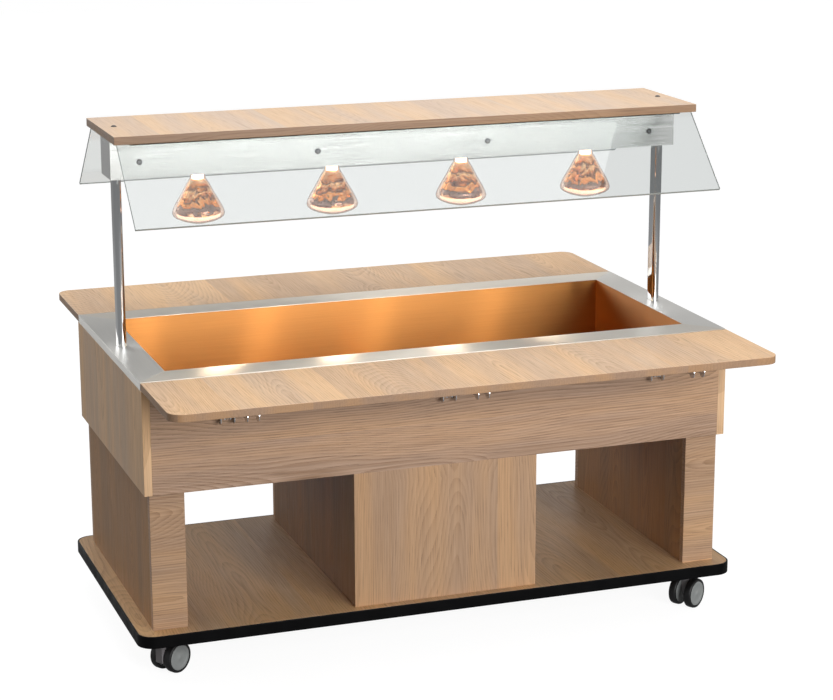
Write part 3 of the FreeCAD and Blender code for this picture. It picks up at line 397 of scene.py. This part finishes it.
def finishPiece(shape, name, node, finishes, replaced=True, smoothAngle=16):
    # turns a bmesh into a piece that rides with its node's body and wears its finishes
    mesh = bpy.data.meshes.new(name)
    shape.to_mesh(mesh)
    shape.free()
    mesh.shade_smooth()
    mesh.set_sharp_from_angle(angle=math.radians(smoothAngle))
    piece = bpy.data.objects.new(name, mesh)
    bpy.context.scene.collection.objects.link(piece)
    for finish in finishes:
        mesh.materials.append(finish)
    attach(piece, bodyOfNode[node])
    if replaced:
        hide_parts(node)
    return piece


# edges are taken off by a width in metres, where faces meet at more than the sharp angle in degrees; a few
# boards wear one finish on the faces across the axis given and another on their edges
easing = {
    "merge": 0.00002, "flat": 1, "sharp": 40,
    "boards": {"front_shelf": 0.0012, "rear_shelf": 0.0012, "canopy_board": 0.0008, "base_board": 0.0008,
               "front_apron": 0.0006, "rear_apron": 0.0006, "end_panels": 0.0008, "cabinet_panels": 0.0006,
               "cabinet_door": 0.001, "pedestal_end_panels": 0.0006, "pedestal_side_panels": 0.0006,
               "base_bumper": 0.0014, "counter_long_rails": 0.0004, "counter_end_rails": 0.0004,
               "canopy_housing": 0.0005, "control_panel": 0.0005},
    "turned": {"canopy_posts": 0.0003, "door_knob": 0.0003},
    "panes": {"front_glass": 0.0005, "rear_glass": 0.0005}, "paneArea": 0.1,
    "facings": {"front_shelf": (oakAcross, oakEdgeBand, 2), "rear_shelf": (oakAcross, oakEdgeBand, 2),
                "base_board": (oakBase, oakEdgeBand, 2), "canopy_board": (oakCanopy, oakCanopyEdge, 2),
                # the cabinet panels' faces across X get the darker oak, which is painted shade of the bay
                "cabinet_panels": (oakCabinetSidePaintedShade, oakUprightFront, 0)}}


def eased(node, width, segments=2, finishes=None, colourBy=None):
    # the node's own shape with its sharp edges taken off
    shape = bmesh.new()
    shape.from_mesh(frame["nodes"][node].data)
    bmesh.ops.remove_doubles(shape, verts=shape.verts, dist=easing["merge"])
    bmesh.ops.dissolve_limit(shape, angle_limit=math.radians(easing["flat"]), verts=shape.verts,
                             edges=shape.edges)
    leastAngle = math.radians(easing["sharp"])
    sharp = [edge for edge in shape.edges if edge.is_manifold and edge.calc_face_angle(0) > leastAngle]
    bmesh.ops.bevel(shape, geom=sharp, offset=width, segments=segments, affect="EDGES", profile=0.5,
                    material=-1, offset_type="OFFSET", clamp_overlap=True)
    if colourBy:
        for face in shape.faces:
            face.material_index = colourBy(face)
    ownFinish = frame["nodes"][node].data.materials[0]
    finishPiece(shape, camelName(node.split("_")), node, finishes or [ownFinish])


def easeBoards():
    for node, width in easing["boards"].items():
        if node in easing["facings"]:
            broad, narrow, axis = easing["facings"][node]
            eased(node, width, 2, [broad, narrow], lambda face: 0 if abs(face.normal[axis]) > 0.5 else 1)
        else:
            eased(node, width)
    for node, width in easing["turned"].items():
        eased(node, width, 1)
    for node, width in easing["panes"].items():
        eased(node, width, 2, [guardGlass, guardEdge],
              lambda face: 0 if face.calc_area() > easing["paneArea"] else 1)


easeBoards()
print("boards, sheet metal and panes eased")


def spun(outline, steps=48):
    # a turned shape about Z from (radius, height) corners; an outline that meets itself gives a ring
    shape = bmesh.new()
    corners = [shape.verts.new((radius, 0, height)) for radius, height in outline]
    for first, second in zip(corners, corners[1:]):
        shape.edges.new((first, second))
    if outline[0][0] > 0 and outline[-1][0] > 0:
        shape.edges.new((corners[-1], corners[0]))
    bmesh.ops.spin(shape, geom=shape.verts[:] + shape.edges[:], cent=(0, 0, 0), axis=(0, 0, 1),
                   angle=math.tau, steps=steps, use_merge=True)
    bmesh.ops.remove_doubles(shape, verts=shape.verts, dist=0.00001)
    bmesh.ops.recalc_face_normals(shape, faces=shape.faces)
    return shape


def gathered(shapes, placings):
    # several shapes, each set down at every placing, in one mesh; a shape's number is its finish
    whole = bmesh.new()
    for number, shape in enumerate(shapes):
        for face in shape.faces:
            face.material_index = number
        for placing in placings:
            mesh = bpy.data.meshes.new("spare")
            shape.to_mesh(mesh)
            mesh.transform(placing)
            whole.from_mesh(mesh)
            bpy.data.meshes.remove(mesh)
        shape.free()
    return whole


def addBlock(shape, placing, size):
    # a block of the size given, with its middle at the placing
    bmesh.ops.create_cube(shape, size=1, matrix=placing @ Matrix.Diagonal((*size, 1)))


evenly = (-1, -1 / 3, 1 / 3, 1)  # four lamps and four screws, spread alike along the canopy
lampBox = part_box("heat_lamps")
# heat lamps: clear bulb, copper reflector inside it, lit neck and lit lens; outlines are (radius, height)
# above the bulb's lowest point, and the coat's stops, bands of painted reflection, run from the rim up to
# the throat
lamp = {
    "radius": 0.0625, "bottom": lampBox[0].z, "steps": 64, "wall": 0.0009,
    "bulb": [(0, 0), (0.02, 0.0017), (0.04, 0.0072), (0.054, 0.0135), (0.0605, 0.0185), (0.0625, 0.025),
             (0.0605, 0.033), (0.0545, 0.046), (0.047, 0.059), (0.04, 0.071), (0.0335, 0.083),
             (0.028, 0.094), (0.0225, 0.103), (0.0188, 0.109), (0.018, 0.116), (0.018, 0.139),
             (0.013, 0.141), (0.013, 0.162), (0, 0.163)],
    "reflector": [(0.049, 0.0225), (0.0525, 0.0255), (0.0535, 0.031), (0.052, 0.037), (0.047, 0.048),
                  (0.0405, 0.06), (0.034, 0.072), (0.028, 0.084), (0.023, 0.095), (0.0172, 0.104),
                  (0.0162, 0.103), (0.0217, 0.094), (0.0392, 0.06), (0.0518, 0.034), (0.0512, 0.0265),
                  (0.048, 0.024)],
    "lens": [(0, 0.0065), (0.03, 0.0085), (0.0505, 0.0165), (0.0525, 0.0195), (0.0505, 0.0215),
             (0.03, 0.0135), (0, 0.0115)],
    "neck": [(0, 0.106), (0.0142, 0.107), (0.0142, 0.131), (0, 0.132)],
    # glow is painted light of the filament on the copper coat
    "coatFrom": 0.02, "coatTo": 0.105, "swirl": 0.55, "glow": 0.5, "dapple": (0.95, 0.78, 0.58, 1),
    "dent": 0.9, "dentDepth": 0.004,
    "coatReflectionBands": ((0.0, "F8DCC0"), (0.08, "5A2E1C"), (0.14, "9A8C8A"), (0.24, "5E504D"), (0.3, "E29A4C"),
                  (0.42, "F2BC78"), (0.48, "4A2410"), (0.56, "D58A40"), (0.66, "FFE0AE"),
                  (0.75, "6E381A"), (0.84, "E8A45A"), (1.0, "FCE6C6"))}
lampPlaces = [(lampBox[1].x - lamp["radius"]) * way for way in evenly]


def makeReflectorCoat():
    # copper that goes from gold at the throat to rose at the rim, with the ripples of blown glass; its
    # bright and dark bands are painted reflections, and it glows with painted light of the filament
    material, tree, shader = newFinish("reflectorCoat", Metallic=1.0, Emission_Strength=lamp["glow"])
    place = objectSpace(tree)
    level = ranged(tree, apart(tree, place)[2], lamp["bottom"] + lamp["coatFrom"],
                   lamp["bottom"] + lamp["coatTo"])
    swirl = noise(tree, place, 32.0, 1.0, distortion=1.5)
    level = maths(tree, "ADD", level, centred(tree, swirl, lamp["swirl"]))
    ramp = addNode(tree, "ShaderNodeValToRGB", {0: level})
    stops = ramp.color_ramp.elements
    while len(stops) < len(lamp["coatReflectionBands"]):
        stops.new(0.5)
    for stop, (where, colour) in zip(stops, lamp["coatReflectionBands"]):
        stop.position = where
        stop.color = tone(colour)
    ripple = noise(tree, stretched(tree, place, (1, 1, 0.5)), 55.0, distortion=1.2)
    dapple = blended(tree, ranged(tree, ripple, 0.35, 0.65), ramp.outputs[0], lamp["dapple"], "MULTIPLY")
    tree.links.new(blended(tree, 0.55, ramp.outputs[0], dapple), shader.inputs["Base Color"])
    tree.links.new(ranged(tree, ripple, 0.3, 0.7, 0.06, 0.2), shader.inputs["Roughness"])
    # painted light: the coat glows with the rippled colour of its bands
    tree.links.new(dapple, shader.inputs["Emission Color"])
    bumped(tree, shader, lamp["dent"], lamp["dentDepth"], ripple)
    return material


def buildLamps():
    spots = [Matrix.Translation((x, 0, lamp["bottom"])) for x in lampPlaces]
    bulbs = finishPiece(gathered([spun(lamp["bulb"], lamp["steps"])], spots), "lampBulbs", "heat_lamps",
                        [lampGlass], smoothAngle=60)
    wall = bulbs.modifiers.new("glassWall", "SOLIDIFY")
    wall.thickness = lamp["wall"]
    wall.offset = -1
    coat = makeReflectorCoat()
    finishPiece(gathered([spun(lamp["reflector"], lamp["steps"])], spots), "lampReflectors", "heat_lamps",
                [coat], smoothAngle=60)
    finishPiece(gathered([spun(lamp["lens"]), spun(lamp["neck"])], spots), "lampFilamentGlow",
                "heat_lamps", [lensGlow, lampGlow], smoothAngle=60)


buildLamps()
print("heat lamps built")


# casters: rounded twin tyres with a dished grey cover on each side and the axle between them; outlines
# are (radius, distance along the axle from the wheels' middle)
wheel = {
    "tyre": [(0.0308, 0.0118), (0.034, 0.0115), (0.0364, 0.0128), (0.0373, 0.0155), (0.0375, 0.0205),
             (0.0375, 0.0225), (0.0373, 0.0275), (0.0364, 0.0302), (0.034, 0.0315), (0.0308, 0.0312)],
    "cover": [(0, 0.0322), (0.004, 0.0322), (0.0052, 0.0314), (0.0066, 0.0308), (0.021, 0.0299),
              (0.0222, 0.0305), (0.0236, 0.0314), (0.0288, 0.0316), (0.0302, 0.0309), (0.0305, 0.0295),
              (0.0305, 0.0118), (0, 0.0118)],
    "axle": [(0, -0.0125), (0.004, -0.0125), (0.004, 0.0125), (0, 0.0125)],
    "tyreSteps": 64, "axleSteps": 20}


def buildCasters():
    for corner in ("front_left", "front_right", "rear_left", "rear_right"):
        roll = jointOf[f"{corner}_wheel_roll"]
        centre = Matrix.Translation(roll["pos_m"])
        turns = [(Vector(roll["axis"]) * way).to_track_quat("Z", "Y") for way in (1, -1)]
        sides = [centre @ turn.to_matrix().to_4x4() for turn in turns]
        words = corner.split("_")
        finishPiece(gathered([spun(wheel["tyre"], wheel["tyreSteps"])], sides),
                    camelName(["tyres", *words]), f"caster_{corner}_tyres", [tyreRubber], smoothAngle=60)
        finishPiece(gathered([spun(wheel["cover"]), spun(wheel["axle"], wheel["axleSteps"])], sides),
                    camelName(["covers", *words]), f"caster_{corner}_hubs", [hubGrey, zincPlate],
                    smoothAngle=50)


buildCasters()
print("casters built")


# cross-slotted screws with a dark washer, on the housing's two faces and on top of the board; the insets
# are from the ends of the housing and the board, and the row's drop is from the housing's top
screw = {
    "washer": [(0, 0), (0.0068, 0), (0.007, 0.0006), (0.0062, 0.0012), (0, 0.0012)],
    "dome": [(0, 0.0012), (0.0052, 0.0012), (0.005, 0.0021), (0.0036, 0.0028), (0.0012, 0.0031),
             (0, 0.0031)],
    "slotLength": 0.0072, "slotWidth": 0.0011, "slotDepth": 0.0003, "slotHeight": 0.0031, "steps": 28,
    "rowInset": 0.068, "rowDrop": 0.06, "capInset": 0.033, "turn": 0.6, "turnAlong": 2, "capTurn": 0.4}


def buildScrews():
    cross = bmesh.new()
    for arms in ((screw["slotLength"], screw["slotWidth"]), (screw["slotWidth"], screw["slotLength"])):
        addBlock(cross, Matrix.Translation((0, 0, screw["slotHeight"])), (*arms, screw["slotDepth"]))
    housing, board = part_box("canopy_housing")[1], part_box("canopy_board")[1]
    spots = []
    for way in (-1, 1):
        outward = Matrix.Rotation(-way * math.pi / 2, 4, "X")
        for share in evenly:
            x = (housing.x - screw["rowInset"]) * share
            place = Matrix.Translation((x, way * housing.y, housing.z - screw["rowDrop"]))
            drivenTo = Matrix.Rotation(screw["turn"] + screw["turnAlong"] * x, 4, "Z")
            spots.append(place @ outward @ drivenTo)
        place = Matrix.Translation((way * (board.x - screw["capInset"]), 0, board.z))
        spots.append(place @ Matrix.Rotation(screw["capTurn"] * way, 4, "Z"))
    heads = [spun(screw["washer"], screw["steps"]), spun(screw["dome"], screw["steps"]), cross]
    finishPiece(gathered(heads, spots), "slottedScrews", "canopy_screws", [knobBlack, screwSteel, chrome],
                smoothAngle=50)


buildScrews()
print("screws built")


# thermostat dial: fluted grip with a white pointer, and plain tick marks on the plate round it
dial = {
    "standOff": 0.001, "radius": 0.0182, "taper": 0.9, "depth": 0.0145, "flutes": 28,
    "fluteWall": 0.0003, "fluteDepth": 0.0009, "capRim": 0.002, "capDepth": 0.0008,
    "pointerOut": 0.0095, "pointerUp": 0.0002, "pointer": (0.0016, 0.012, 0.0012), "pointerEdge": 0.0002,
    "marks": 11, "markRadius": 0.0235, "markDown": 0.0008, "mark": (0.0009, 0.0045, 0.0004)}


def buildDial():
    spindle = jointOf["thermostat_turn"]
    place = Matrix.Translation(Vector(spindle["pos_m"]) + Vector((0, dial["standOff"], 0)))
    place = place @ Matrix.Rotation(-math.pi / 2, 4, "X")
    grip = bmesh.new()
    bmesh.ops.create_cone(grip, cap_ends=True, segments=dial["flutes"] * 2, radius1=dial["radius"],
                          radius2=dial["radius"] * dial["taper"], depth=dial["depth"],
                          matrix=Matrix.Translation((0, 0, dial["depth"] / 2)))
    sides = [face for face in grip.faces if abs(face.normal.z) < 0.5]
    sides.sort(key=lambda face: math.atan2(*face.calc_center_median().xy))
    bmesh.ops.inset_individual(grip, faces=sides[::2], thickness=dial["fluteWall"],
                               depth=-dial["fluteDepth"])
    caps = [face for face in grip.faces if face.normal.z > 0.9]
    bmesh.ops.inset_region(grip, faces=caps, thickness=dial["capRim"], depth=-dial["capDepth"])
    pointer = bmesh.new()
    addBlock(pointer, Matrix.Translation((0, dial["pointerOut"], dial["depth"] + dial["pointerUp"])),
             dial["pointer"])
    bmesh.ops.bevel(pointer, geom=pointer.edges[:], offset=dial["pointerEdge"], segments=1,
                    affect="EDGES", profile=0.5, material=-1)
    finishPiece(gathered([grip, pointer], [place]), "thermostatDial", "thermostat_knob",
                [knobBlack, ceramicWhite])
    marks = bmesh.new()
    outward = Matrix.Translation((0, dial["markRadius"], -dial["markDown"]))
    for step in range(dial["marks"]):
        turn = math.radians(spindle["range_deg"][1] * (step / (dial["marks"] - 1) - 0.5))
        addBlock(marks, Matrix.Rotation(turn, 4, "Z") @ outward, dial["mark"])
    finishPiece(gathered([marks], [place]), "dialMarks", "control_panel", [knobBlack], replaced=False)


buildDial()
print("dial built")


# where the viewer stands, in metres and degrees, and the lens in millimetres
viewer = {"place": (-1.7953, -5.1867, 2.0747), "turn": -19.58, "tilt": -14.56, "roll": -0.12,
          "lens": 98.77, "sensor": 36}


def placeCamera():
    turn, tilt, roll = (math.radians(viewer[key]) for key in ("turn", "tilt", "roll"))
    ahead = Vector((-math.sin(turn) * math.cos(tilt), math.cos(turn) * math.cos(tilt), math.sin(tilt)))
    right = Vector((math.cos(turn), math.sin(turn), 0))
    up = right.cross(ahead)
    rolledRight = right * math.cos(roll) + up * math.sin(roll)
    rolledUp = up * math.cos(roll) - right * math.sin(roll)
    facing = Matrix((rolledRight, rolledUp, -ahead)).transposed().to_4x4()
    data = bpy.data.cameras.new("viewCamera")
    data.lens = viewer["lens"]
    data.sensor_width = viewer["sensor"]
    data.sensor_fit = "HORIZONTAL"
    camera = bpy.data.objects.new("viewCamera", data)
    camera.matrix_world = Matrix.Translation(viewer["place"]) @ facing
    bpy.context.scene.collection.objects.link(camera)
    bpy.context.scene.camera = camera


# soft lights are name, place, aim, size and power; the room and floor look white to the viewer and
# through glass, but light the object only a little
studio = {
    "softLights": (("topLight", (-0.1, -0.3, 3.6), (0, 0, 0.7), (3.4, 2.6), 80),
                   ("frontLight", (1.1, -4.2, 1.75), (0, 0, 0.6), (2.4, 1.8), 128),
                   ("rearLight", (-2.2, 4.2, 1.9), (0, 0, 0.6), (2.4, 1.8), 45)),
    "lampPower": 7.5, "lampColour": (1.0, 0.82, 0.6), "lampSpread": 120, "lampBlend": 0.8,
    "lampRadius": 0.045, "lampBelow": 0.004, "roomLight": 0.22,
    "floorReach": 14, "floorGlow": 0.93, "floorShine": 0.2, "floorTones": (0.12, 0.14)}


def buildRoom():
    # metal sees pale panels at the sides and a bright ceiling
    world = bpy.data.worlds.new("paleRoom")
    bpy.context.scene.world = world
    world.use_nodes = True
    tree = world.node_tree
    background = tree.nodes["Background"]
    path = addNode(tree, "ShaderNodeLightPath").outputs
    way = addNode(tree, "ShaderNodeTexCoord").outputs["Generated"]
    panels = ranged(tree, noise(tree, way, 2.6, 1.0), 0.4, 0.6, 0.08, 1.0)
    ceiling = ranged(tree, apart(tree, way)[2], 0.1, 0.5, 0.0, 0.85)
    shine = maths(tree, "MULTIPLY", path["Is Glossy Ray"], maths(tree, "MAXIMUM", panels, ceiling))
    notGlossy = maths(tree, "SUBTRACT", 1.0, path["Is Glossy Ray"])
    unseen = maths(tree, "ADD", maths(tree, "MULTIPLY", notGlossy, studio["roomLight"]), shine)
    seen = maths(tree, "MAXIMUM", path["Is Camera Ray"], path["Is Transmission Ray"])
    unseen = maths(tree, "MULTIPLY", maths(tree, "SUBTRACT", 1.0, seen), unseen)
    background.inputs["Color"].default_value = (1, 1, 1, 1)
    tree.links.new(maths(tree, "ADD", seen, unseen), background.inputs["Strength"])


def addLight(name, kind, place, power):
    data = bpy.data.lights.new(name, kind)
    data.energy = power
    light = bpy.data.objects.new(name, data)
    light.location = place
    bpy.context.scene.collection.objects.link(light)
    return light, data


def addLights():
    for name, place, aim, size, power in studio["softLights"]:
        light, data = addLight(name, "AREA", place, power)
        data.shape = "RECTANGLE"
        data.size, data.size_y = size
        light.rotation_euler = (Vector(aim) - Vector(place)).to_track_quat("-Z", "Y").to_euler()
    for x in lampPlaces:
        place = (x, 0, lamp["bottom"] - studio["lampBelow"])
        light, data = addLight("lampLight", "SPOT", place, studio["lampPower"])
        data.color = studio["lampColour"]
        data.spot_size = math.radians(studio["lampSpread"])
        data.spot_blend = studio["lampBlend"]
        data.shadow_soft_size = studio["lampRadius"]


def buildFloor():
    shape = bmesh.new()
    bmesh.ops.create_grid(shape, x_segments=8, y_segments=8, size=studio["floorReach"])
    mesh = bpy.data.meshes.new("paleFloor")
    shape.to_mesh(mesh)
    shape.free()
    floor = bpy.data.objects.new("paleFloor", mesh)
    bpy.context.scene.collection.objects.link(floor)
    material, tree, shader = newFinish("paleFloorPaint", Roughness=0.9, Emission_Color=(1, 1, 1, 1))
    low, high = ((value, value, value, 1) for value in studio["floorTones"])
    tree.links.new(blended(tree, noise(tree, objectSpace(tree), 3.0), low, high),
                   shader.inputs["Base Color"])
    path = addNode(tree, "ShaderNodeLightPath").outputs
    seen = maths(tree, "MAXIMUM", path["Is Camera Ray"], path["Is Transmission Ray"])
    shine = maths(tree, "MULTIPLY", path["Is Glossy Ray"], studio["floorShine"])
    glow = maths(tree, "MAXIMUM", maths(tree, "MULTIPLY", seen, studio["floorGlow"]), shine)
    tree.links.new(glow, shader.inputs["Emission Strength"])
    mesh.materials.append(material)


placeCamera()
buildRoom()
addLights()
buildFloor()
bpy.context.scene.view_settings.view_transform = "Standard"
print("studio ready")
